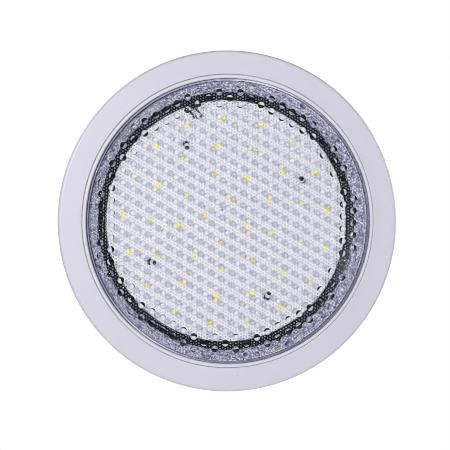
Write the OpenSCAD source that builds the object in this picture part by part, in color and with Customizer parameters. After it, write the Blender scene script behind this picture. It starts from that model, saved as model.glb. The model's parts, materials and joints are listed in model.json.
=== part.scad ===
// Wall-mounted underwater pool light: round face ring, embossed clear lens,
// LED board, sealed housing, bayonet wall bracket and cable gland.
// Every part is drawn lying down: x is right, y is up, and z is the distance
// from the wall. facing() then stands it up so that it looks towards -Y.

/* [Face] */
// Outer diameter of the face ring
face_d = 290; // [286:1:300]
// Distance from the wall to the front of the face ring
face_front = 52; // [51.5:0.1:53]
// Thickness of the face ring's plate and skirt
face_t = 2.4; // [2:0.1:2.6]
// Number of water vents along the skirt's rear edge
vents = 12; // [6:1:24]

/* [Lens] */
// Outer radius of the lens rim
rim_r = 124; // [123.8:0.1:124.1]
// Radius of the lens where it comes through the clamp ring
lens_r = 121.2; // [120.8:0.1:121.3]
// Thickness of the lens
lens_t = 3; // [2.5:0.1:3.5]
// Distance from the wall to the front of the lens
lens_front = 57; // [56:0.5:60]

/* [LED board] */
// Radius of the white LED board
board_r = 102.8; // [101:0.2:103]
// Distance from the wall to the back of the LED board
board_back = 36.5; // [36:0.1:37]
// Length and width of one LED package
led_size = [5.6, 3.0]; // [2:0.1:6]
// Radius of the circle of screws that hold the board
board_screw_pcr = 74; // [73:0.5:76]

/* [Housing] */
// Outer radius of the housing's wall
house_r = 113; // [112.8:0.1:113.4]
// Wall thickness of the housing
house_t = 3; // [2.8:0.1:3.2]
// Distance from the wall to the back of the housing's floor
floor_back = 15; // [14:0.5:15.5]
// Distance from the wall to the seat of the lens seal
seat = 45.5; // [45.3:0.1:45.7]
// Number of screws in the clamp ring
clamp_screw_count = 8; // [8, 16]

/* [Wall bracket] */
// Radius of the bracket plate
plate_r = 108; // [107:0.5:109]
// Thickness of the bracket plate
plate_t = 3.5; // [3:0.1:4]
// Diameter of the circle of wall screws
wall_pcd = 160; // [150:1:164]
// Diameter of each wall screw hole
wall_hole_d = 5.5; // [4.5:0.1:6]
// Diameter of the hole over the wall conduit
conduit_d = 28; // [26:0.5:30]

/* [Cable gland] */
// Diameter of the cable that the seal grips
cable_d = 7; // [6:0.1:7.5]
// Width across the flats of the gland nut
nut_af = 22; // [20:0.5:22]

/* [Hidden] */
$fn = 180;

gap = 0.4;                 // play between parts that move past each other
slip = 0.05;               // radial play of a screw or pin in its hole
face_r = face_d / 2;

// Face ring
face_inner_r = 124.9;      // leaves a fine groove round the clamp ring
face_back = 40;            // rear edge of the face ring's own short skirt
skirt_draft = 0.094;       // taper of both skirts, in mm per mm of depth
face_edge = 2.6;           // outer edge rounding
gussets = 24;

// Side skirt between the face ring and the wall
side_back = 8;
spigot_t = 1.2;            // the part that reaches inside the face ring
spigot_front = 44;
vent_w = 20;
vent_h = 5;

// Bayonet between the face ring and the housing
flange_r = 135;
flange_t = 3.5;
ring_tabs = 4;
ring_tab_first = 11;
ring_tab_half = 6;         // half of a tab's angle
ring_unlock = 17;          // turn that brings the tabs to the notches
ring_tab_r = 131.5;
ring_tab_t = 3.5;
hook_r = [136, 139.4];     // leg that carries each tab
boss_r = 3.4;              // round the retaining screw

// Clamp ring
clamp_inner_r = 121.5;
clamp_lip_r = 124.6;
clamp_outer_r = 134.5;
clamp_lip = 53.6;          // front of the raised lip
clamp_flange = 49.2;       // front of the flange under the face ring
clamp_screw_r = 130;
m4_r = 1.95;
m4_head_r = 3.8;
insert_r = 2.9;
insert_back = 38;
boss_back = 35;

// Lens, its seal and the ring behind it
rim_t = 3;
gasket_t = 2;
gasket_r = 118.5;
lens_edge = 1.2;           // rounding of the lens's outer edge

// LED board
board_t = 1.6;
board_front = board_back + board_t;
sink_t = 2;
sink_back = board_back - sink_t;
sink_r = 100;
led_h = 0.6;
phosphor_h = 0.15;
led_rings = [[1, 0, 0], [4, 19.1, 76], [9, 40.8, 25], [13, 65.5, 13.2], [17, 87.8, 6.8]];
board_screw_first = 28;
m3_r = 1.45;
m3_head_r = 2.8;
m3_head_h = 1.8;
wire_notch = 107.3;        // direction of the notch for the two leads
sensor_hole = [-3.3, 9.9];

// Ring of black rubber that closes the gap round the board
seal_inner_r = 103.3;
seal_mid_r = 106.05;
seal_round = 2.75;
seal_mid = 36.6;

// Housing
floor_front = floor_back + house_t;
inner_r = house_r - house_t;
mouth_r = 118.3;
mouth_back = 38.5;         // joint between the housing and its flange
lap_back = 34;             // rear end of the flange's lap over the housing
lap_t = 2.6;
skirt_back = 5;            // rear edge of the housing's skirt
recess_r = 21;
recess_floor = 25;
standoff_r = 4;
pilot_depth = 10;

// Bayonet between the housing and the wall bracket
lug_wall_r = 102;
lug_r = 107;
lug_back = 9;
lug_front = 12;
lug_count = 4;
lug_half = 12;             // half of a lug's angle
stop_angle = 2;
foot_r = 92;
foot_t = 2;
foot_screw_r = 95.5;
port_r = 3.6;

// Driver board
driver_at = [-58, 0];
driver_size = [60, 44];
driver_back = floor_front + 2;
driver_front = driver_back + board_t;
driver_hole = [27, 19];
m25_r = 1.2;
cap_r = 5;
cap_h = 11;
drum_r = 8;
drum_h = 9;
block_size = [12, 16, 10];

// Leads between the driver and the LED board
lead_r = 0.8;
lead_sides = 8;
lead_steps = 5;
lead_a = [[-60, 16, 23], [-62, 34, 25], [-52, 66, 26], [-38, 88, 27], [-32.7, 94.9, 31],
          [-32.7, 94.9, 37], [-31.4, 93.3, 40], [-27.5, 88.5, 39.2]];
lead_b = [[-54, 16, 23], [-53, 34, 25], [-46, 68, 26], [-31, 89, 27], [-27, 96.6, 31],
          [-27, 96.6, 37], [-25.8, 95, 40], [-21.3, 89.7, 39.2]];

// Cable gland
gland_thread_r = 8;
gland_bore_r = 4.2;
gland_nut_back = 6;
gland_nut_front = 18;
gland_hex = [19, 24];
gland_mouth = 11;          // end of the body that the nut closes
gland_end = 33;
seal_pocket = 17;
slip_ring = [9.05, 10.6];

function polar(r, a) = [r * cos(a), r * sin(a)];
function hex_r(af) = af / 2 / cos(30);
function arc(c, r, a0, a1, n) = [for (i = [0:n]) c + polar(r, a0 + (a1 - a0) * i / n)];

// Catmull-Rom curve through a list of points
function curve_point(p, t) =
    0.5 * (2 * p[1] + (p[2] - p[0]) * t + (2 * p[0] - 5 * p[1] + 4 * p[2] - p[3]) * t * t
           + (3 * p[1] - p[0] - 3 * p[2] + p[3]) * t * t * t);
function pick(pts, i) = pts[min(max(i, 0), len(pts) - 1)];
function smooth(pts, n) = concat(
    [for (i = [0:len(pts) - 2], k = [0:n - 1])
        curve_point([pick(pts, i - 1), pts[i], pts[i + 1], pick(pts, i + 2)], k / n)],
    [pts[len(pts) - 1]]);
function unit(v) = v / norm(v);

// Stands a part up: z, the distance from the wall, turns to -Y
module facing() {
    rotate([90, 0, 0]) children();
}

module turned(profile) {
    rotate_extrude() polygon(profile);
}

module tube(r_in, r_out, z0, z1) {
    turned([[r_in, z0], [r_out, z0], [r_out, z1], [r_in, z1]]);
}

module disc(r, z0, z1) {
    translate([0, 0, z0]) cylinder(r = r, h = z1 - z0);
}

module hexagon(af, z0, z1) {
    translate([0, 0, z0]) cylinder(r = hex_r(af), h = z1 - z0, $fn = 6);
}

module sector(r_in, r_out, z0, z1, a0, a1) {
    rotate([0, 0, a0])
        rotate_extrude(angle = a1 - a0)
            polygon([[r_in, z0], [r_out, z0], [r_out, z1], [r_in, z1]]);
}

module around(n, r = 0, first = 0) {
    for (i = [0:n - 1])
        rotate([0, 0, first + i * 360 / n])
            translate([r, 0, 0])
                children();
}

module block(size, z0, z1) {
    translate([-size[0] / 2, -size[1] / 2, z0]) cube([size[0], size[1], z1 - z0]);
}

// A round wire through a list of points, as one closed skin
module wire(path, r, sides) {
    n = len(path);
    points = [for (i = [0:n - 1])
        let (along = unit(pick(path, i + 1) - pick(path, i - 1)),
             side = unit(cross(along, [0.6, 0.8, 0.05])),
             up = cross(side, along))
        for (k = [0:sides - 1])
            path[i] + r * (side * cos(k * 360 / sides) + up * sin(k * 360 / sides))];
    walls = [for (i = [0:n - 2], k = [0:sides - 1], half = [0, 1])
        let (here = i * sides, next = here + sides, turn = (k + 1) % sides)
        half == 0 ? [here + k, here + turn, next + turn] : [here + k, next + turn, next + k]];
    ends = [[for (k = [sides - 1:-1:0]) k], [for (k = [0:sides - 1]) (n - 1) * sides + k]];
    polyhedron(points = points, faces = concat(walls, ends), convexity = 10);
}

// Notches that let the face ring's tabs through
module ring_notches(z0, z1) {
    for (i = [0:ring_tabs - 1]) {
        mid = ring_tab_first + ring_unlock + i * 360 / ring_tabs;
        sector(ring_tab_r - gap, flange_r + 2, z0, z1,
               mid - ring_tab_half - 1, mid + ring_tab_half + 1);
    }
}

module wire_notch_cut(r, z0, z1) {
    rotate([0, 0, wire_notch])
        translate([r, -5.5, z0]) cube([6, 11, z1 - z0]);
}

module wall_bracket() {
    color("gainsboro") facing() difference() {
        union() {
            disc(plate_r, 0, plate_t);
            tube(conduit_d / 2, conduit_d / 2 + 3, plate_t - 0.1, plate_t + 2);
            around(12) translate([16, -1, plate_t - 0.1]) cube([foot_r - 17, 2, 2.6]);
            around(4, wall_pcd / 2, 45) disc(7.5, plate_t - 0.1, plate_t + 2.5);
        }
        disc(conduit_d / 2, -1, plate_t + 3);
        around(4, wall_pcd / 2, 45) disc(wall_hole_d / 2, -1, plate_t + 4);
        around(12, 50, 15) disc(port_r, -1, plate_t + 1);
        around(4, foot_screw_r, 22.5) disc(m3_r + slip, 0.8, plate_t + 1);
    }
}

module bayonet_ring() {
    color("gainsboro") facing() difference() {
        union() {
            turned([[foot_r, plate_t], [lug_wall_r, plate_t], [lug_wall_r, lug_front],
                    [lug_wall_r - 3, lug_front], [lug_wall_r - 3, plate_t + foot_t],
                    [foot_r, plate_t + foot_t]]);
            for (a = [0:360 / lug_count:359]) {
                stop = a - lug_half - 0.4;
                sector(lug_wall_r - 0.5, lug_r, lug_back, lug_front - 0.2,
                       stop - stop_angle, a + lug_half);
                sector(lug_wall_r - 0.5, lug_r - 0.1, plate_t + 0.3, lug_back + 1,
                       stop - stop_angle + 0.1, stop);
            }
        }
        around(4, foot_screw_r, 22.5) disc(m3_r + 0.2, plate_t - 1, plate_t + foot_t + 1);
    }
}

module bayonet_screws() {
    color("silver") facing() around(4, foot_screw_r, 22.5) difference() {
        union() {
            disc(m3_r, 1.2, plate_t + foot_t + 0.5);
            disc(m3_head_r, plate_t + foot_t, plate_t + foot_t + m3_head_h);
        }
        block([3.4, 0.8], plate_t + foot_t + 0.9, plate_t + foot_t + 3);
        block([0.8, 3.4], plate_t + foot_t + 0.9, plate_t + foot_t + 3);
    }
}

module rear_housing() {
    color("white") facing() difference() {
        union() {
            turned([[gland_thread_r + slip, recess_floor], [recess_r, recess_floor],
                    [recess_r, floor_back], [inner_r, floor_back], [inner_r, skirt_back],
                    [house_r, skirt_back], [house_r, mouth_back],
                    [inner_r, mouth_back], [inner_r, floor_front],
                    [recess_r + 3, floor_front], [recess_r + 3, recess_floor + 3],
                    [gland_thread_r + slip, recess_floor + 3]]);
            around(4, board_screw_pcr, board_screw_first) disc(standoff_r, floor_front - 0.5, sink_back);
            around(8) translate([recess_r + 1, -1, floor_back - 2.5]) cube([70, 2, 3]);
            for (a = [0:360 / lug_count:359])
                sector(lug_wall_r + 0.6, inner_r + 0.5, skirt_back + 0.5, lug_back - gap,
                       a - lug_half, a + lug_half);
            translate(driver_at) for (x = [-1, 1], y = [-1, 1])
                translate([x * driver_hole[0], y * driver_hole[1], 0])
                    disc(3, floor_front - 0.5, driver_back);
        }
        around(4, board_screw_pcr, board_screw_first)
            disc(m3_r + slip, sink_back - pilot_depth, sink_back + 1);
        translate(driver_at) for (x = [-1, 1], y = [-1, 1])
            translate([x * driver_hole[0], y * driver_hole[1], 0])
                disc(m25_r + slip, floor_front - 1, driver_back + 1);
    }
}

// The flange welded round the housing's mouth: it seats the lens seal and holds the inserts
module seat_flange() {
    lap_r = house_r + lap_t;
    color("white") facing() difference() {
        union() {
            turned([[inner_r, mouth_back], [mouth_r, seat], [flange_r, seat],
                    [flange_r, seat - flange_t], [lap_r + 3, seat - flange_t], [lap_r, mouth_back],
                    [lap_r, lap_back], [house_r, lap_back], [house_r, mouth_back]]);
            around(clamp_screw_count, clamp_screw_r) disc(4.6, boss_back, seat - flange_t + 0.5);
        }
        around(clamp_screw_count, clamp_screw_r) disc(insert_r + slip, insert_back - 1.5, seat + 1);
        ring_notches(seat - flange_t - 1, seat + 1);
    }
}

// Outer radius of both skirts, and the face ring's inner radius, at a distance z from the wall
function skirt_r(z) = face_r - 0.1 - skirt_draft * (face_front - face_edge - z);
function skirt_in(z) = skirt_r(z) - face_t;

// A tapered radial rib between the face ring's plate and its skirt
module gusset() {
    rotate([90, 0, 0])
        translate([0, 0, -0.8])
            linear_extrude(height = 1.6)
                polygon([[137, face_front - face_t + 0.3], [143.2, face_front - face_t + 0.3],
                         [142.8, spigot_front + 0.5]]);
}

module face_ring() {
    plate_back = face_front - face_t;
    color("whitesmoke") facing() difference() {
        union() {
            turned(concat(
                [[face_inner_r, plate_back], [face_inner_r, face_front - 0.25],
                 [face_inner_r + 0.25, face_front]],
                arc([face_r - face_edge, face_front - face_edge], face_edge, 90, 5, 10),
                [[skirt_r(face_back), face_back], [skirt_in(face_back), face_back],
                 [skirt_in(plate_back - 0.7), plate_back - 0.7],
                 [skirt_in(plate_back - 0.7) - 0.7, plate_back]]));
            around(gussets, 0, 4) gusset();
            for (i = [0:ring_tabs - 1]) {
                mid = ring_tab_first + i * 360 / ring_tabs;
                tab_front = seat - flange_t - 0.5;
                sector(ring_tab_r, hook_r[1], tab_front - ring_tab_t, tab_front,
                       mid - ring_tab_half, mid + ring_tab_half);
                sector(hook_r[0], hook_r[1], tab_front - 1, plate_back + 0.5,
                       mid - ring_tab_half, mid + ring_tab_half);
            }
            translate([0, 0, seat - flange_t / 2]) rotate([90, 0, 0])
                translate([0, 0, 136.5]) cylinder(r = boss_r, h = 6);
        }
        translate([0, 0, seat - flange_t / 2]) rotate([90, 0, 0])
            translate([0, 0, 130]) cylinder(r = m4_r + slip, h = 20);
    }
}

module side_skirt() {
    joint = face_back - 0.2;
    color("whitesmoke") facing() difference() {
        turned([[skirt_r(side_back), side_back], [skirt_r(joint), joint],
                [skirt_in(joint) - slip, joint], [skirt_in(spigot_front) - slip, spigot_front],
                [skirt_in(spigot_front) - spigot_t, spigot_front],
                [skirt_in(joint) - spigot_t, joint - 4], [skirt_in(side_back), side_back]]);
        around(vents, 0, 7) translate([130, -vent_w / 2, side_back - 1]) cube([20, vent_w, vent_h + 1]);
        translate([-5, -150, joint + 0.4]) cube([10, 20, 6]);
    }
}

module retaining_screw() {
    color("silver") facing() translate([0, 0, seat - flange_t / 2]) rotate([90, 0, 0])
        difference() {
            translate([0, 0, flange_r + 0.7]) cylinder(r = m4_r, h = 8.6);
            translate([0, 0, flange_r + 7]) cylinder(r = 1.15, h = 3, $fn = 6);
        }
}

module clamp_ring() {
    color("white") facing() difference() {
        turned([[clamp_inner_r, seat + gasket_t + rim_t], [clamp_inner_r, clamp_lip - 0.9],
                [clamp_inner_r + 0.3, clamp_lip - 0.35], [clamp_inner_r + 0.9, clamp_lip],
                [clamp_lip_r - 0.9, clamp_lip], [clamp_lip_r - 0.3, clamp_lip - 0.35],
                [clamp_lip_r, clamp_lip - 0.9], [clamp_lip_r, clamp_flange],
                [clamp_outer_r, clamp_flange], [clamp_outer_r, seat + 0.5],
                [rim_r + gap, seat + 0.5], [rim_r + gap, seat + gasket_t + rim_t]]);
        around(clamp_screw_count, clamp_screw_r) {
            disc(m4_r + 0.3, seat - 1, clamp_flange + 1);
            translate([0, 0, clamp_flange - 2.3]) cylinder(r1 = m4_r + 0.3, r2 = 4.3, h = 2.4);
        }
        ring_notches(seat - 1, clamp_flange + 1);
    }
}

module clamp_screws() {
    color("silver") facing() around(clamp_screw_count, clamp_screw_r) difference() {
        union() {
            disc(m4_r, insert_back + 0.6, clamp_flange - 1.5);
            translate([0, 0, clamp_flange - 2.2]) cylinder(r1 = m4_r, r2 = m4_head_r, h = 2.1);
        }
        translate([0, 0, clamp_flange - 1.3]) block([4.4, 0.9], 0, 2);
        translate([0, 0, clamp_flange - 1.3]) block([0.9, 4.4], 0, 2);
    }
}

module threaded_inserts() {
    color("goldenrod") facing() around(clamp_screw_count, clamp_screw_r)
        tube(m4_r + slip, insert_r, insert_back, seat);
}

module lens() {
    rim_back = seat + gasket_t;
    edge_c = [lens_r - lens_edge, lens_front - lens_edge];
    color("aliceblue", 0.5) facing()
        turned(concat(
            [[rim_r, rim_back], [rim_r, rim_back + rim_t], [lens_r, rim_back + rim_t]],
            arc(edge_c, lens_edge, 0, 90, 8),
            [[0, lens_front], [0, lens_front - lens_t], [lens_r - lens_t - 1.7, lens_front - lens_t],
             [lens_r - lens_t - 0.2, lens_front - lens_t - 1.5], [lens_r - lens_t - 0.2, rim_back]]));
}

module lens_gasket() {
    color("lightgray") facing() tube(gasket_r, rim_r, seat, seat + gasket_t);
}

module reflector_ring() {
    color("slategray") facing()
        turned([[seal_inner_r, 33], [inner_r - 0.2, 33], [inner_r - 0.2, mouth_back],
                [mouth_r - 0.2, seat - 0.05], [mouth_r - 0.2, seat + 1.3],
                [mouth_r - 1.1, seat + 1.3], [inner_r - 1.1, mouth_back + 1],
                [inner_r - 1.1, 34.4], [seal_inner_r, 34.4]]);
}

module board_edge_seal() {
    color("black") facing() intersection() {
        turned(arc([seal_mid_r, seal_mid], seal_round, 0, 345, 23));
        tube(100, 110, 34.45, 42);
    }
}

module heat_sink() {
    color("silver") facing() difference() {
        disc(sink_r, sink_back, board_back);
        disc(10, sink_back - 1, board_back + 1);
        around(4, board_screw_pcr, board_screw_first) disc(m3_r + 0.3, sink_back - 1, board_back + 1);
        wire_notch_cut(98.5, sink_back - 1, board_back + 1);
    }
}

module led_board() {
    color("white") facing() difference() {
        disc(board_r, board_back, board_front);
        around(4, board_screw_pcr, board_screw_first) disc(m3_r + 0.3, board_back - 1, board_front + 1);
        translate(sensor_hole) disc(1.2, board_back - 1, board_front + 1);
        wire_notch_cut(98.5, board_back - 1, board_front + 1);
    }
}

// Puts its child at every LED place, long side along the ring
module at_leds() {
    for (ring = led_rings)
        around(ring[0], ring[1], ring[2]) rotate([0, 0, 90]) children();
}

module led_packages() {
    color("ivory") facing() at_leds() block(led_size, board_front, board_front + led_h);
}

module led_phosphors() {
    top = board_front + led_h;
    color("yellow") facing() at_leds() block(led_size - [1.4, 0.8], top, top + phosphor_h);
}

module board_screws() {
    color("dimgray") facing() around(4, board_screw_pcr, board_screw_first) difference() {
        union() {
            disc(m3_r, sink_back - pilot_depth + 1, board_front + 0.5);
            disc(m3_head_r, board_front, board_front + m3_head_h);
        }
        block([3.4, 0.8], board_front + 0.9, board_front + 3);
        block([0.8, 3.4], board_front + 0.9, board_front + 3);
    }
}

module solder_joints() {
    color("silver") facing() for (lead = [lead_a, lead_b])
        translate([lead[7][0], lead[7][1], board_front])
            cylinder(r1 = 1.9, r2 = 1.1, h = 1.2);
}

module board_leads() {
    color("black") facing() for (lead = [lead_a, lead_b])
        wire(smooth(lead, lead_steps), lead_r, lead_sides);
}

module driver_board() {
    color("darkgreen") facing() translate(driver_at) difference() {
        block(driver_size, driver_back, driver_front);
        for (x = [-1, 1], y = [-1, 1])
            translate([x * driver_hole[0], y * driver_hole[1], 0])
                disc(m25_r + 0.2, driver_back - 1, driver_front + 1);
    }
}

module driver_screws() {
    color("silver") facing() translate(driver_at) for (x = [-1, 1], y = [-1, 1])
        translate([x * driver_hole[0], y * driver_hole[1], 0]) {
            disc(m25_r, floor_front - 0.8, driver_front + 0.2);
            disc(2.3, driver_front, driver_front + 1.5);
        }
}

module bridge_rectifier() {
    color("dimgray") facing() translate([-40, 13, 0]) block([8, 6], driver_front, driver_front + 2.5);
}

module filter_capacitors() {
    color("midnightblue") facing() for (y = [-11, 11])
        translate([-74, y, 0]) disc(cap_r, driver_front, driver_front + cap_h);
}

module power_inductor() {
    color("darkslategray") facing() translate([-56, -4, 0]) {
        disc(drum_r, driver_front, driver_front + 1.5);
        disc(3.5, driver_front, driver_front + drum_h);
        disc(drum_r, driver_front + drum_h - 1.5, driver_front + drum_h);
    }
}

module inductor_winding() {
    color("peru") facing() translate([-56, -4, 0])
        tube(3.6, drum_r - 1, driver_front + 1.6, driver_front + drum_h - 1.6);
}

module driver_chips() {
    color("black") facing() {
        translate([-56, 12, 0]) block([5, 4], driver_front, driver_front + 1.5);
        translate([-42, 4, 0]) block([6.5, 6], driver_front, driver_front + 2.2);
    }
}

module terminal_block() {
    color("limegreen") facing() translate([-40, -10, driver_front]) difference() {
        block([block_size[0], block_size[1]], 0, block_size[2]);
        for (y = [-4, 4]) {
            translate([0, y, 0]) disc(2.1, 2.5, block_size[2] + 1);
            translate([2, y - 1.5, 1]) cube([5, 3, 5]);
        }
    }
}

module terminal_screws() {
    color("silver") facing() translate([-40, -10, driver_front]) for (y = [-4, 4])
        translate([0, y, 0]) difference() {
            disc(2, 6.5, 9.2);
            block([4.4, 0.7], 8.5, 10);
        }
}

module gland_body() {
    color("dimgray") facing() difference() {
        union() {
            hexagon(nut_af, gland_hex[0], gland_hex[1]);
            disc(gland_thread_r, gland_hex[1] - 0.1, gland_end);
            disc(gland_thread_r - 0.4, gland_mouth, gland_hex[0] + 0.1);
        }
        disc(gland_bore_r, gland_mouth - 1, gland_end + 1);
        disc(6.2, gland_mouth - 1, seal_pocket);
    }
}

module gland_oring() {
    color("black") facing() tube(gland_thread_r + 0.1, 11, gland_hex[1], recess_floor);
}

module gland_locknut() {
    color("dimgray") facing() difference() {
        hexagon(nut_af, recess_floor + 3, recess_floor + 7);
        disc(gland_thread_r + slip, recess_floor, gland_end);
    }
}

module gland_seal() {
    color("black") facing() tube(cable_d / 2, 6.15, gland_mouth + 0.4, seal_pocket);
}

module gland_slip_ring() {
    color("silver") facing() tube(gland_bore_r + 0.4, 7.5, slip_ring[0], slip_ring[1]);
}

module gland_nut() {
    color("dimgray") facing() difference() {
        union() {
            hexagon(nut_af, gland_nut_back + 3, gland_nut_front);
            translate([0, 0, gland_nut_back]) cylinder(r1 = 8, r2 = nut_af / 2 - 0.5, h = 3.1);
        }
        disc(gland_bore_r + 0.4, gland_nut_back - 1, gland_nut_front);
        disc(gland_thread_r - 0.35, slip_ring[0] - slip, gland_nut_front + 1);
    }
}

wall_bracket();
bayonet_ring();
bayonet_screws();
rear_housing();
seat_flange();
face_ring();
side_skirt();
retaining_screw();
clamp_ring();
clamp_screws();
threaded_inserts();
lens();
lens_gasket();
reflector_ring();
board_edge_seal();
heat_sink();
led_board();
led_packages();
led_phosphors();
board_screws();
solder_joints();
board_leads();
driver_board();
driver_screws();
bridge_rectifier();
filter_capacitors();
power_inductor();
inductor_winding();
driver_chips();
terminal_block();
terminal_screws();
gland_body();
gland_oring();
gland_locknut();
gland_seal();
gland_slip_ring();
gland_nut();
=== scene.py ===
"""The looks of a wall-mounted underwater pool light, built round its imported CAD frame."""
import json
import math

import bpy
import numpy as np
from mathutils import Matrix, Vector
from mathutils.geometry import delaunay_2d_cdt


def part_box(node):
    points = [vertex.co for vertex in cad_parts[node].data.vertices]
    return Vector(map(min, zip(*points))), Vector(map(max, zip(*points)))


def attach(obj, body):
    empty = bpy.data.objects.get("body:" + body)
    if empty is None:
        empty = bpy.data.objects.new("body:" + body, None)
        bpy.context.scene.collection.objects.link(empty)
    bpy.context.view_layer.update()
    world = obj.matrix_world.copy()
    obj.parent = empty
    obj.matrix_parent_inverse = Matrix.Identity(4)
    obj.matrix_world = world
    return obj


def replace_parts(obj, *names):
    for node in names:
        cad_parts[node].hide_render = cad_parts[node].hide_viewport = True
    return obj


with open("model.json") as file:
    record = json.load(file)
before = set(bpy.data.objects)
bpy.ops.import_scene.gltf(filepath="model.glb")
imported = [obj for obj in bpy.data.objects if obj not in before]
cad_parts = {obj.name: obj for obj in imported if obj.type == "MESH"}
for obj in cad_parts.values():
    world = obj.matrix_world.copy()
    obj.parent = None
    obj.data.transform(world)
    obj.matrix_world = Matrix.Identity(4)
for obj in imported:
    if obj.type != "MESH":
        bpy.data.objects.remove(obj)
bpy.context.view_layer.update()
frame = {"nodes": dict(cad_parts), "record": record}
NODES = frame["nodes"]
MM = 0.001


# ---------------------------------------------------------------- materials

class Shader:
    """A node material that is put together one node at a time."""

    def __init__(self, name):
        self.mat = bpy.data.materials.new(name)
        self.mat.use_nodes = True
        self.tree = self.mat.node_tree
        self.tree.nodes.clear()
        self.out = self.tree.nodes.new("ShaderNodeOutputMaterial")
        self.coords = self.tree.nodes.new("ShaderNodeTexCoord").outputs["Object"]

    def node(self, kind, **settings):
        made = self.tree.nodes.new("ShaderNode" + kind)
        for key, value in settings.items():
            setattr(made, key, value)
        return made

    def link(self, value, socket):
        if isinstance(value, bpy.types.NodeSocket):
            self.tree.links.new(value, socket)
        elif value is not None:
            socket.default_value = value

    def stretched(self, scale):
        """Object coordinates with each axis scaled by its own factor."""
        n = self.node("Mapping")
        self.link(self.coords, n.inputs["Vector"])
        n.inputs["Scale"].default_value = scale
        return n.outputs["Vector"]

    def noise(self, scale, detail=3.0, roughness=0.5, vector=None):
        n = self.node("TexNoise")
        self.link(self.coords if vector is None else vector, n.inputs["Vector"])
        n.inputs["Scale"].default_value = scale
        n.inputs["Detail"].default_value = detail
        n.inputs["Roughness"].default_value = roughness
        return n.outputs["Fac"]

    def cells(self, scale, feature="F1"):
        n = self.node("TexVoronoi", feature=feature)
        self.link(self.coords, n.inputs["Vector"])
        n.inputs["Scale"].default_value = scale
        return n.outputs["Distance"]

    def ramp(self, value, *stops):
        """Colours or greys by value, from stops of (position, colour or grey)."""
        n = self.node("ValToRGB")
        self.link(value, n.inputs["Fac"])
        ends = n.color_ramp.elements
        while len(ends) < len(stops):
            ends.new(0.5)
        for end, (at, colour) in zip(ends, stops):
            end.position = at
            end.color = (*colour, 1) if isinstance(colour, tuple) else (colour, colour, colour, 1)
        return n.outputs["Color"]

    def map_range(self, value, low, high, to_low=0, to_high=1):
        n = self.node("MapRange")
        self.link(value, n.inputs["Value"])
        n.inputs["From Min"].default_value = low
        n.inputs["From Max"].default_value = high
        n.inputs["To Min"].default_value = to_low
        n.inputs["To Max"].default_value = to_high
        return n.outputs["Result"]

    def wander(self, value, scale, below, above, detail=3.0):
        """The value with slow noise on it, between two multiples of itself."""
        return self.map_range(self.noise(scale, detail), 0.3, 0.7, value * below, value * above)

    def mix(self, fac, a, b):
        """Colour a where fac is 0 and colour b where it is 1."""
        n = self.node("Mix", data_type="RGBA")
        self.link(fac, n.inputs[0])
        self.link((*a, 1) if isinstance(a, tuple) else a, n.inputs[6])
        self.link((*b, 1) if isinstance(b, tuple) else b, n.inputs[7])
        return n.outputs[2]

    def math(self, operation, a, b=None):
        n = self.node("Math", operation=operation)
        self.link(a, n.inputs[0])
        self.link(b, n.inputs[1])
        return n.outputs[0]

    def bump(self, height, strength, distance, normal=None):
        n = self.node("Bump")
        self.link(height, n.inputs["Height"])
        self.link(normal, n.inputs["Normal"])
        n.inputs["Strength"].default_value = strength
        n.inputs["Distance"].default_value = distance
        return n.outputs["Normal"]

    def soft_edge(self, radius):
        """Normals that round every edge off."""
        n = self.node("Bevel", samples=4)
        n.inputs["Radius"].default_value = radius
        return n.outputs["Normal"]

    def surface(self, colour, roughness, normal=None, **inputs):
        """The material's surface; further inputs go by their names, with _ for a space."""
        n = self.node("BsdfPrincipled")
        self.link((*colour, 1) if isinstance(colour, tuple) else colour, n.inputs["Base Color"])
        self.link(roughness, n.inputs["Roughness"])
        self.link(normal, n.inputs["Normal"])
        for key, value in inputs.items():
            self.link(value, n.inputs[key.replace("_", " ")])
        self.tree.links.new(n.outputs["BSDF"], self.out.inputs["Surface"])
        return n


def dimmed(colour, factor):
    return tuple(c * factor for c in colour)


def moulded(name, colour, rough=0.38, grain=0.02, specks=True, edge=0.35, mottle=0.97, coat=0.0):
    """Injection-moulded plastic: a fine spark-eroded grain, faint flow mottling and a few specks.

    The grain's depth and the edges' radius are in mm, and mottle is how bright the darkest patch is.
    """
    s = Shader(name)
    flow = s.map_range(s.noise(18, detail=4, roughness=0.55), 0.3, 0.7)
    tone = s.mix(flow, dimmed(colour, mottle), colour)
    if specks:
        dust = s.ramp(s.cells(70), (0.0, 0.0), (0.018, 0.0), (0.03, 1.0))
        tone = s.mix(dust, dimmed(colour, 0.55), tone)
    fine = s.noise(2600, detail=4, roughness=0.6)
    wave = s.noise(30, detail=2)
    normal = s.bump(fine, 0.35, grain * MM, s.soft_edge(edge * MM))
    normal = s.bump(wave, 0.25, 0.12 * MM, normal)
    s.surface(tone, s.wander(rough, 420, 0.88, 1.12), normal, Coat_Weight=coat, Coat_Roughness=0.12)
    return s.mat


def metal(name, colour, rough=0.28, brushed=(900, 40, 900), edge=0.12):
    """Machined or brushed metal, with drawn-out scratches and slightly uneven polish."""
    s = Shader(name)
    lines = s.noise(1, detail=5, roughness=0.65, vector=s.stretched(brushed))
    smudge = s.map_range(s.noise(160), 0.4, 0.7, 0, 0.06)
    tone = s.mix(s.map_range(lines, 0.3, 0.7), dimmed(colour, 0.82), colour)
    polish = s.map_range(lines, 0.3, 0.7, rough * 0.75, rough * 1.2)
    normal = s.bump(lines, 0.25, 0.01 * MM, s.soft_edge(edge * MM))
    s.surface(tone, s.math("ADD", polish, smudge), normal, Metallic=1.0)
    return s.mat


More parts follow.
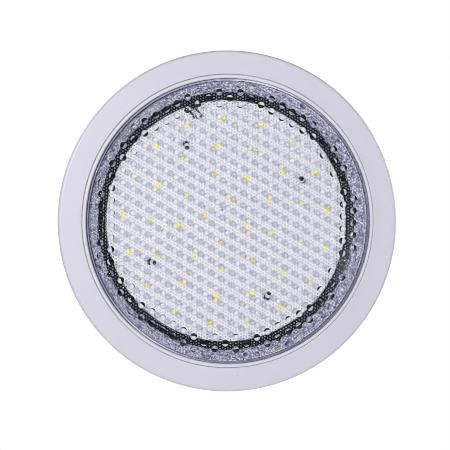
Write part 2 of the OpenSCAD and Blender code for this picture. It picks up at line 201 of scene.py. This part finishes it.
def rubber(name, colour, rough=0.3, bloom=0.25, specular=0.5):
    """Smooth rubber with a dull bloom in patches."""
    s = Shader(name)
    patches = s.map_range(s.noise(90, detail=4, roughness=0.6), 0.35, 0.75)
    tone = s.mix(patches, colour, tuple(min(c + bloom * 0.06, 1) for c in colour))
    normal = s.bump(s.noise(1800), 0.3, 0.012 * MM)
    s.surface(tone, s.wander(rough, 220, 0.75, 1.35), normal, Specular_IOR_Level=specular)
    return s.mat


def clear_lens():
    """Clear polycarbonate that lamps shine straight through; its slopes shade more and are darkened with
    painted shade.
    """
    s = Shader("embossed_polycarbonate")
    normal = s.node("SeparateXYZ")
    s.link(s.node("NewGeometry").outputs["Normal"], normal.inputs[0])
    level = s.math("ABSOLUTE", normal.outputs["Y"])
    glass = s.node("BsdfGlass")
    # painted shade: the glass colour darkens and turns bluish on the slopes of the pimples and domes,
    # standing in for the dark rings they show
    painted_slope_shade = s.ramp(level, (0.62, (0.47, 0.465, 0.58)), (0.80, (0.70, 0.695, 0.78)),
                  (0.93, (0.86, 0.86, 0.91)), (0.995, (0.97, 0.97, 0.98)))
    s.link(painted_slope_shade, glass.inputs["Color"])
    glass.inputs["IOR"].default_value = 1.585
    s.link(s.map_range(s.noise(240), 0.35, 0.75, 0, 0.03), glass.inputs["Roughness"])
    s.link(s.bump(s.noise(900), 0.12, 0.02 * MM), glass.inputs["Normal"])
    through = s.node("BsdfTransparent")
    shade = s.ramp(level, (0.80, (0.115, 0.12, 0.185)), (0.97, (0.20, 0.21, 0.32)), (0.992, 1.0))
    s.link(shade, through.inputs["Color"])
    path = s.node("LightPath")
    both = s.node("MixShader")
    s.link(path.outputs["Is Shadow Ray"], both.inputs[0])
    s.link(glass.outputs[0], both.inputs[1])
    s.link(through.outputs[0], both.inputs[2])
    s.link(both.outputs[0], s.out.inputs["Surface"])
    return s.mat


def solder_mask(name, colour, rough=0.32):
    """A printed board: lacquer over faintly raised copper areas."""
    s = Shader(name)
    pours = s.ramp(s.cells(95, "DISTANCE_TO_EDGE"), (0.0, 0.0), (0.03, 0.0), (0.05, 1.0))
    weave = s.noise(1, detail=2, vector=s.stretched((2400, 2400, 500)))
    tone = s.mix(pours, dimmed(colour, 0.965), colour)
    tone = s.mix(s.map_range(s.noise(60), 0.35, 0.7), tone, dimmed(colour, 0.98))
    normal = s.bump(pours, 0.4, 0.03 * MM)
    normal = s.bump(weave, 0.2, 0.008 * MM, normal)
    s.surface(tone, s.wander(rough, 300, 0.8, 1.25), normal)
    return s.mat


def phosphor():
    """Yellow phosphor gel, grainy and slightly glossy, with a faint painted glow though the LED is not lit.
    """
    s = Shader("yellow_phosphor_gel")
    tone = s.mix(s.noise(2500), (0.96, 0.93, 0.005), (0.99, 0.985, 0.02))
    normal = s.bump(s.noise(4200, detail=2), 0.25, 0.015 * MM)
    # painted light: a faint yellow emission makes the unlit phosphor glow
    s.surface(tone, 0.35, normal, Emission_Color=(0.98, 0.96, 0.01, 1), Emission_Strength=0.3)
    return s.mat


def wound(name, colour):
    """Enamelled wire wound in neat turns, with painted shade in the grooves between the turns."""
    s = Shader(name)
    turns = s.node("TexWave", wave_type="BANDS", bands_direction="Y", wave_profile="SIN")
    s.link(s.coords, turns.inputs["Vector"])
    turns.inputs["Scale"].default_value = 900
    turns.inputs["Distortion"].default_value = 0.3
    # painted shade: the colour darkens towards 0.45 between the turns, where the grooves between round wires
    # fall into shade
    tone = s.mix(turns.outputs["Fac"], dimmed(colour, 0.45), colour)
    s.surface(tone, 0.25, s.bump(turns.outputs["Fac"], 0.8, 0.2 * MM), Metallic=0.75)
    return s.mat


def grey_with_painted_sparkle(name, colour, painted_dark_dot, painted_glint):
    """Grey plastic with a coarse grain; its near-white and dark speckles are painted sparkle, glints and
    dark dots seen through the lens.
    """
    s = Shader(name)
    grains = s.cells(560)
    clumps = s.noise(260, detail=4, roughness=0.7)
    swing = s.math("MULTIPLY", s.math("SUBTRACT", clumps, 0.5), 1.3)
    # painted sparkle: near-white and dark speckles stand in for the glints and dark dots that the lens's
    # domes throw on this ring
    tone = s.ramp(s.math("ADD", grains, swing), (0.15, painted_glint), (0.45, colour), (0.8, painted_dark_dot))
    s.surface(tone, s.map_range(clumps, 0.3, 0.7, 0.25, 0.5), s.bump(grains, 0.7, 0.25 * MM))
    return s.mat


LAVENDER = (0.585, 0.575, 0.648)
MATERIALS = {
    "bracket_abs": moulded("bracket_abs_grain", (0.66, 0.66, 0.70), rough=0.5, grain=0.03),
    "housing_abs": moulded("housing_abs_grain", (0.68, 0.68, 0.73), rough=0.48, grain=0.03),
    "face_abs": moulded("face_abs_satin", LAVENDER, rough=0.4, grain=0.016, mottle=0.985),
    "ring_abs": moulded("ring_abs_satin", (0.66, 0.65, 0.715), rough=0.3, grain=0.01, mottle=0.985,
                        coat=0.25),
    "clear_lens": clear_lens(),
    "silicone": rubber("translucent_silicone", (0.84, 0.83, 0.92), rough=0.45, bloom=0.5),
    "stainless": metal("stainless_machined", (0.60, 0.60, 0.62), rough=0.3),
    "brass": metal("brass_machined", (0.70, 0.50, 0.22), rough=0.28),
    "grey_plastic": grey_with_painted_sparkle("reflector_grey", (0.61, 0.60, 0.74), painted_dark_dot=(0.125, 0.12, 0.21),
                             painted_glint=(0.98, 0.97, 1.0)),
    "black_rubber": rubber("black_seal_rubber", (0.004, 0.004, 0.005), rough=0.15, bloom=0.05, specular=0.3),
    "aluminium": metal("aluminium_milled", (0.76, 0.77, 0.78), rough=0.35, brushed=(60, 60, 1400)),
    "solder_mask": solder_mask("white_solder_mask", (0.94, 0.945, 0.97)),
    "led_body": moulded("led_body_white", (0.80, 0.79, 0.74), rough=0.35, grain=0.01, specks=False,
                        edge=0.08),
    "phosphor": phosphor(),
    "dark_screw": metal("screw_blackened", (0.05, 0.05, 0.055), rough=0.35),
    "solder": metal("solder_tin", (0.66, 0.67, 0.68), rough=0.2, brushed=(500, 500, 500)),
    "black_lead": rubber("lead_insulation", (0.02, 0.02, 0.022), rough=0.38),
    "green_mask": solder_mask("green_solder_mask", (0.03, 0.17, 0.06)),
    "chip_black": moulded("chip_epoxy", (0.035, 0.035, 0.038), rough=0.55, grain=0.03, edge=0.1),
    "capacitor_sleeve": moulded("capacitor_sleeve_film", (0.03, 0.05, 0.16), rough=0.25, grain=0.006,
                                edge=0.3),
    "ferrite": moulded("ferrite_sintered", (0.06, 0.065, 0.065), rough=0.6, grain=0.05, edge=0.15),
    "copper_wire": wound("enamelled_copper", (0.72, 0.34, 0.14)),
    "terminal_green": moulded("terminal_green_pa", (0.05, 0.30, 0.10), rough=0.42, grain=0.015, edge=0.2),
    "gland_nylon": moulded("gland_black_nylon", (0.03, 0.03, 0.034), rough=0.45, grain=0.02, edge=0.25),
}
for part in frame["record"]["subparts"]:
    node = NODES[part["node"]]
    node.data.materials.clear()
    node.data.materials.append(MATERIALS[part["material_slot"]])


# ---------------------------------------------------------------- mesh helpers

def stand(points):
    """Points drawn lying down, in mm (right, up, distance from the wall), as row-frame metres."""
    p = np.asarray(points, float) * MM
    return np.column_stack([p[:, 0], -p[:, 2], p[:, 1]])


def make(name, points, faces, body, slot_name):
    """A smooth piece from points as stand() takes them, on its body and in its material slot."""
    mesh = bpy.data.meshes.new(name)
    mesh.from_pydata(stand(points).tolist(), [], faces)
    mesh.materials.append(MATERIALS[slot_name])
    mesh.shade_smooth()
    mesh.update()
    obj = bpy.data.objects.new(name, mesh)
    bpy.context.scene.collection.objects.link(obj)
    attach(obj, body)
    return obj


# ---------------------------------------------------------------- embossed lens

# lengths in mm
LENS_BASE = 55.9          # ground between the pimples, from the wall
LENS_INNER = 54.0         # flat back of the lens, from the wall
PITCH = 10.389            # between pimples
FINE = PITCH / 4          # between domes
TILT = -1.054             # degrees that the lattice is turned
ORIGIN = (-1.061, 0.292)  # one pimple's centre
PIMPLE_R = 2.9
PIMPLE_H = 1.1            # above the ground
DOME_R = 0.75
DOME_H = 0.37
PIMPLE_TO_EDGE = 0.3      # least ground between a pimple and the embossed field's edge
DOME_TO_EDGE = 0.2
DOME_TO_PIMPLE = 0.25
PIMPLE_RINGS = (6, 12, 18, 24)  # points in each ring, from the top outwards
DOME_RINGS = (6, 8)
FIELD_R = 120.0           # embossed field
PLAIN_R = 120.3           # where the rounding of the edge starts
EDGE_R = 0.9              # rounding of the edge
EDGE_POINTS = 6           # along that rounding
WALL = 1.8                # thickness of the pan's side
CHAMFER = 0.7             # inside, between the side and the flat back
RIM_R = 124.0             # rim under the clamp ring
RIM_FRONT = 50.5          # from the wall
RIM_BACK = 47.56
SEGMENTS = 360            # round the lens


def turned(x, y, degrees):
    c, s = math.cos(math.radians(degrees)), math.sin(math.radians(degrees))
    return x * c - y * s, x * s + y * c


def lattice(step):
    """Points of a hexagonal lattice over the field, one of them at ORIGIN, in columns going up."""
    n = math.ceil(1.25 * FIELD_R / step)
    i, j = np.meshgrid(np.arange(-n, n + 1), np.arange(-n, n + 1))
    x, y = turned(i.ravel() * step * math.sqrt(3) / 2, ((j + 0.5 * (i % 2)) * step).ravel(), TILT)
    return x + ORIGIN[0], y + ORIGIN[1]


def bumps(px, py, radius, height, rings):
    """Rings of points over spherical bumps: their places, heights and normals, and each one's bump."""
    ball = (radius ** 2 + height ** 2) / (2 * height)
    each = np.ones(len(px))
    rows = [(px, py, height * each, 0 * each, 0 * each)]
    for k, count in enumerate(rings, 1):
        r = radius * k / len(rings)
        h = math.sqrt(ball ** 2 - r ** 2) - (ball - height)
        for t in range(count):
            a = 2 * math.pi * (t + 0.5 * (k % 2)) / count
            dx, dy = r * math.cos(a), r * math.sin(a)
            rows.append((px + dx, py + dy, h * each, dx / ball * each, dy / ball * each))
    owner = np.tile(np.arange(len(px)), len(rows))
    return [np.concatenate(column) for column in zip(*rows)] + [owner]


def embossing():
    """Large pimples, and small domes wherever a pimple leaves room for them, as bumps() gives them."""
    px, py = lattice(PITCH)
    inside = np.hypot(px, py) < FIELD_R - PIMPLE_R - PIMPLE_TO_EDGE
    px, py = px[inside], py[inside]
    large = bumps(px, py, PIMPLE_R, PIMPLE_H, PIMPLE_RINGS)
    dx, dy = lattice(FINE)
    nearest = np.full(len(dx), np.inf)
    for x, y in zip(px, py):
        nearest = np.minimum(nearest, np.hypot(dx - x, dy - y))
    inside = np.hypot(dx, dy) < FIELD_R - DOME_R - DOME_TO_EDGE
    free = inside & (nearest > PIMPLE_R + DOME_R + DOME_TO_PIMPLE)
    small = bumps(dx[free], dy[free], DOME_R, DOME_H, DOME_RINGS)
    small[-1] += len(px)
    return [np.concatenate(pair) for pair in zip(large, small)]


def embossed_front(edge):
    """The front inside PLAIN_R: its points, triangles, corner normals, and the points of its outer ring."""
    x, y, height, lean_x, lean_y, owner = embossing()
    flat = [Vector((PLAIN_R * math.cos(a), PLAIN_R * math.sin(a))) for a in edge]
    flat += [Vector(p) for p in zip(x.tolist(), y.tolist())]
    loop = [(i, (i + 1) % SEGMENTS) for i in range(SEGMENTS)]
    inside_loop, merge_within = 1, 1e-5
    corners, _, tris, sources, _, _ = delaunay_2d_cdt(flat, loop, [], inside_loop, merge_within)
    pts, lean, bump, ring = [], [], [], {}
    for i, (corner, source) in enumerate(zip(corners, sources)):
        k = source[0] if source else -1
        if 0 <= k < SEGMENTS:
            ring[k] = i
        n = k - SEGMENTS
        on_bump = n >= 0
        pts.append((corner.x, corner.y, LENS_BASE + (height[n] if on_bump else 0.0)))
        lean.append((lean_x[n], lean_y[n]) if on_bump else (0.0, 0.0))
        bump.append(owner[n] if on_bump else -1)
    faces = [tuple(t) for t in tris]
    normals = []
    for t in faces:
        domed = bump[t[0]] >= 0 and bump[t[0]] == bump[t[1]] == bump[t[2]]
        for i in t:
            a, b = lean[i] if domed else (0.0, 0.0)
            normals.append((a, -math.sqrt(1 - a * a - b * b), b))
    return pts, faces, normals, [ring[i] for i in range(SEGMENTS)]


def pan_outline():
    """The pan from its rounded edge to its flat back: stretches of (r, z, normal's r, normal's z)."""
    out = round(PLAIN_R + EDGE_R, 4)
    wall = round(out - WALL, 4)
    shoulder = round(LENS_BASE - EDGE_R, 4)
    slope = -math.sqrt(0.5)
    arc = [(round(PLAIN_R + EDGE_R * math.sin(t), 4), round(shoulder + EDGE_R * math.cos(t), 4),
            math.sin(t), math.cos(t)) for t in np.linspace(0, math.pi / 2, EDGE_POINTS)]
    return [arc,
            [(out, shoulder, 1, 0), (out, RIM_FRONT, 1, 0)],
            [(out, RIM_FRONT, 0, 1), (RIM_R, RIM_FRONT, 0, 1)],
            [(RIM_R, RIM_FRONT, 1, 0), (RIM_R, RIM_BACK, 1, 0)],
            [(RIM_R, RIM_BACK, 0, -1), (wall, RIM_BACK, 0, -1)],
            [(wall, RIM_BACK, -1, 0), (wall, LENS_INNER - CHAMFER, -1, 0)],
            [(wall, LENS_INNER - CHAMFER, slope, slope), (wall - CHAMFER, LENS_INNER, slope, slope)]]


def lens_piece():
    """Clear pan whose front carries large pimples with small domes all over the ground between them."""
    edge = np.arange(SEGMENTS) * 2 * math.pi / SEGMENTS
    pts, faces, normals, ring = embossed_front(edge)
    rows = {(PLAIN_R, LENS_BASE): ring}  # each ring's points, by its (r, z)
    outline = pan_outline()
    for stretch in outline:
        for r, z, _, _ in stretch:
            if (r, z) not in rows:
                rows[(r, z)] = list(range(len(pts), len(pts) + SEGMENTS))
                pts += [(r * math.cos(a), r * math.sin(a), z) for a in edge]
        for (r0, z0, a0, b0), (r1, z1, a1, b1) in zip(stretch, stretch[1:]):
            near, far = rows[(r0, z0)], rows[(r1, z1)]
            for i in range(SEGMENTS):
                j = (i + 1) % SEGMENTS
                faces.append((near[i], far[i], far[j], near[j]))
                for k, a, b in ((i, a0, b0), (i, a1, b1), (j, a1, b1), (j, a0, b0)):
                    normals.append((a * math.cos(edge[k]), -b, a * math.sin(edge[k])))
    flat_back = rows[outline[-1][-1][:2]]
    centre = len(pts)
    pts.append((0, 0, LENS_INNER))
    for i in range(SEGMENTS):
        faces.append((flat_back[i], centre, flat_back[(i + 1) % SEGMENTS]))
        normals += [(0.0, 1.0, 0.0)] * 3
    obj = make("lens_embossed", pts, faces, "lamp", "clear_lens")
    obj.data.normals_split_custom_set(normals)
    obj.visible_diffuse = False
    return obj


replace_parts(lens_piece(), "lens")


# ---------------------------------------------------------------- seal round the LED board

def turned_piece(name, outline, body, slot_name, segments=240):
    """A closed outline of (radius, distance from the wall), in mm, turned about the light's axis."""
    turns = np.arange(segments) * 2 * math.pi / segments
    pts = [(r * math.cos(a), r * math.sin(a), z) for a in turns for r, z in outline]
    n = len(outline)
    faces = []
    for k in range(segments):
        here, there = k * n, (k + 1) % segments * n
        for i in range(n):
            j = (i + 1) % n
            faces.append((here + i, there + i, there + j, here + j))
    return make(name, pts, faces, body, slot_name)


def rounded(corners, radius, steps=4):
    """An outline with each corner replaced by a short curve that starts and ends radius from it."""
    out = []
    for i, corner in enumerate(corners):
        here, before, after = (Vector(p) for p in (corner, corners[i - 1], corners[(i + 1) % len(corners)]))
        start = here + (before - here).normalized() * radius
        end = here + (after - here).normalized() * radius
        for k in range(steps + 1):
            t = k / steps
            out.append(tuple(start.lerp(here, t).lerp(here.lerp(end, t), t)))
    return out


def seal_piece():
    """Moulded rubber seal: a bevelled strip with an outer lip that hangs just over the reflector."""
    inner, outer = 103.4, 108.8  # radii of the strip, in mm
    foot, crest = 34.5, 39.9  # its back and front, in mm from the wall
    inner_top, outer_top = crest - 1.0, crest - 0.1
    crest_from, crest_to = 105.6, 106.4
    lip_under, lip_over = (110.0, 40.9), (109.6, 41.3)
    corners = [(inner, foot), (outer, foot), (outer, outer_top), lip_under, lip_over,
               (crest_to, crest), (crest_from, crest), (inner, inner_top)]
    return turned_piece("seal_bevelled", rounded(corners, radius=0.25), "lamp", "black_rubber")


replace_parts(seal_piece(), "board_edge_seal")


# ---------------------------------------------------------------- floor, lights, camera

AIM = Vector((0, -0.03, 0))  # about the middle of the object


def area_light(name, at, size, power, colour, glossy=True):
    """A rectangular lamp that faces AIM, hidden from the camera, also when it looks through glass.

    Glossy surfaces don't mirror it if glossy is False.
    """
    data = bpy.data.lights.new(name, "AREA")
    data.shape = "RECTANGLE"
    data.size, data.size_y = size
    data.energy = power
    data.color = colour
    obj = bpy.data.objects.new(name, data)
    obj.location = at
    obj.rotation_mode = "QUATERNION"
    obj.rotation_quaternion = (AIM - Vector(at)).to_track_quat("-Z", "Y")
    obj.visible_camera = False
    obj.visible_transmission = False
    obj.visible_glossy = glossy
    bpy.context.scene.collection.objects.link(obj)


def world_light(fill_colour, fill_strength):
    """White to the camera, a weak cool fill to everything else."""
    world = bpy.data.worlds.new("studio")
    bpy.context.scene.world = world
    world.use_nodes = True
    tree = world.node_tree
    tree.nodes.clear()
    seen = tree.nodes.new("ShaderNodeBackground")
    seen.inputs["Color"].default_value = (1, 1, 1, 1)
    fill = tree.nodes.new("ShaderNodeBackground")
    fill.inputs["Color"].default_value = (*fill_colour, 1)
    fill.inputs["Strength"].default_value = fill_strength
    ray = tree.nodes.new("ShaderNodeLightPath")
    pick = tree.nodes.new("ShaderNodeMixShader")
    out = tree.nodes.new("ShaderNodeOutputWorld")
    tree.links.new(ray.outputs["Is Camera Ray"], pick.inputs[0])
    tree.links.new(fill.outputs[0], pick.inputs[1])
    tree.links.new(seen.outputs[0], pick.inputs[2])
    tree.links.new(pick.outputs[0], out.inputs["Surface"])


def studio_floor(reach, z, fade):
    """A pale square floor that fades into the white of the world by fade metres from the middle."""
    mesh = bpy.data.meshes.new("studio_floor")
    corners = [(-reach, -reach, z), (reach, -reach, z), (reach, reach, z), (-reach, reach, z)]
    mesh.from_pydata(corners, [], [(0, 1, 2, 3)])
    s = Shader("pale_floor")
    seen = s.node("LightPath").outputs["Is Camera Ray"]
    gradient = s.node("TexGradient", gradient_type="SPHERICAL")
    s.link(s.stretched((1 / fade, 1 / fade, 0)), gradient.inputs["Vector"])
    near = s.ramp(gradient.outputs["Fac"], (0.0, 0.0), (0.65, 1.0))
    tone = s.mix(s.noise(8), (0.83, 0.83, 0.84), (0.86, 0.86, 0.87))
    lift = s.math("MULTIPLY", seen, 0.3)
    plain = s.surface(tone, 0.8, Emission_Color=(1, 1, 1, 1), Emission_Strength=lift)
    glow = s.node("Emission")
    s.link(seen, glow.inputs["Strength"])
    both = s.node("MixShader")
    s.link(near, both.inputs[0])
    s.link(glow.outputs[0], both.inputs[1])
    s.link(plain.outputs[0], both.inputs[2])
    s.link(both.outputs[0], s.out.inputs["Surface"])
    mesh.materials.append(s.mat)
    obj = bpy.data.objects.new("studio_floor", mesh)
    bpy.context.scene.collection.objects.link(obj)


def camera_from(azimuth, elevation, wide, offset, lens=300, sensor=36):
    """A long lens that shows wide metres across at the face ring; offset moves its target (right, up)."""
    obj = bpy.data.objects.new("camera", bpy.data.cameras.new("camera"))
    bpy.context.scene.collection.objects.link(obj)
    obj.data.lens = lens
    obj.data.sensor_width = sensor
    obj.data.clip_start, obj.data.clip_end = 0.05, 50
    a, e = math.radians(azimuth), math.radians(elevation)
    back = Vector((math.sin(a) * math.cos(e), -math.cos(a) * math.cos(e), math.sin(e)))
    right = Vector((math.cos(a), math.sin(a), 0))
    up = back.cross(right)
    target = Vector((0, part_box("face_ring")[0].y, 0)) + right * offset[0] + up * offset[1]
    obj.location = target + back * (wide * lens / sensor)
    obj.rotation_mode = "QUATERNION"
    obj.rotation_quaternion = (-back).to_track_quat("-Z", "Y")
    bpy.context.scene.camera = obj


KEY = (1.0, 0.99, 1.0)  # the lamps' colours
SIDE = (0.985, 0.98, 1.0)
STRIP = (0.98, 0.98, 1.0)
BACK = (0.99, 0.985, 1.0)
area_light("key_left", (-0.50, -1.40, 0.20), (0.10, 0.10), 14.8, KEY)
area_light("softbox_left", (-1.04, -0.49, 0.35), (0.3, 0.5), 2.0, SIDE)
area_light("softbox_right", (0.85, -0.75, 0.1), (0.7, 1.0), 4.4, SIDE, glossy=False)
area_light("strip_top", (0.1, -0.78, 0.80), (1.0, 0.30), 0.8, STRIP)
area_light("strip_bottom", (0.1, -0.78, -0.80), (1.0, 0.30), 0.5, STRIP)
area_light("back_left", (-0.9, 1.2, 0.8), (1.0, 1.0), 16.0, BACK)
area_light("back_right", (1.2, 0.8, 0.3), (0.8, 0.8), 10.0, BACK)
world_light((0.86, 0.86, 1.0), 0.065)
studio_floor(reach=3.4, z=-0.62, fade=2.1)
camera_from(azimuth=-7.05, elevation=0.63, wide=0.3825, offset=(-0.0027, -0.0034))
bpy.context.scene.view_settings.view_transform = "Standard"
bpy.context.scene.cycles.filter_width = 0.9
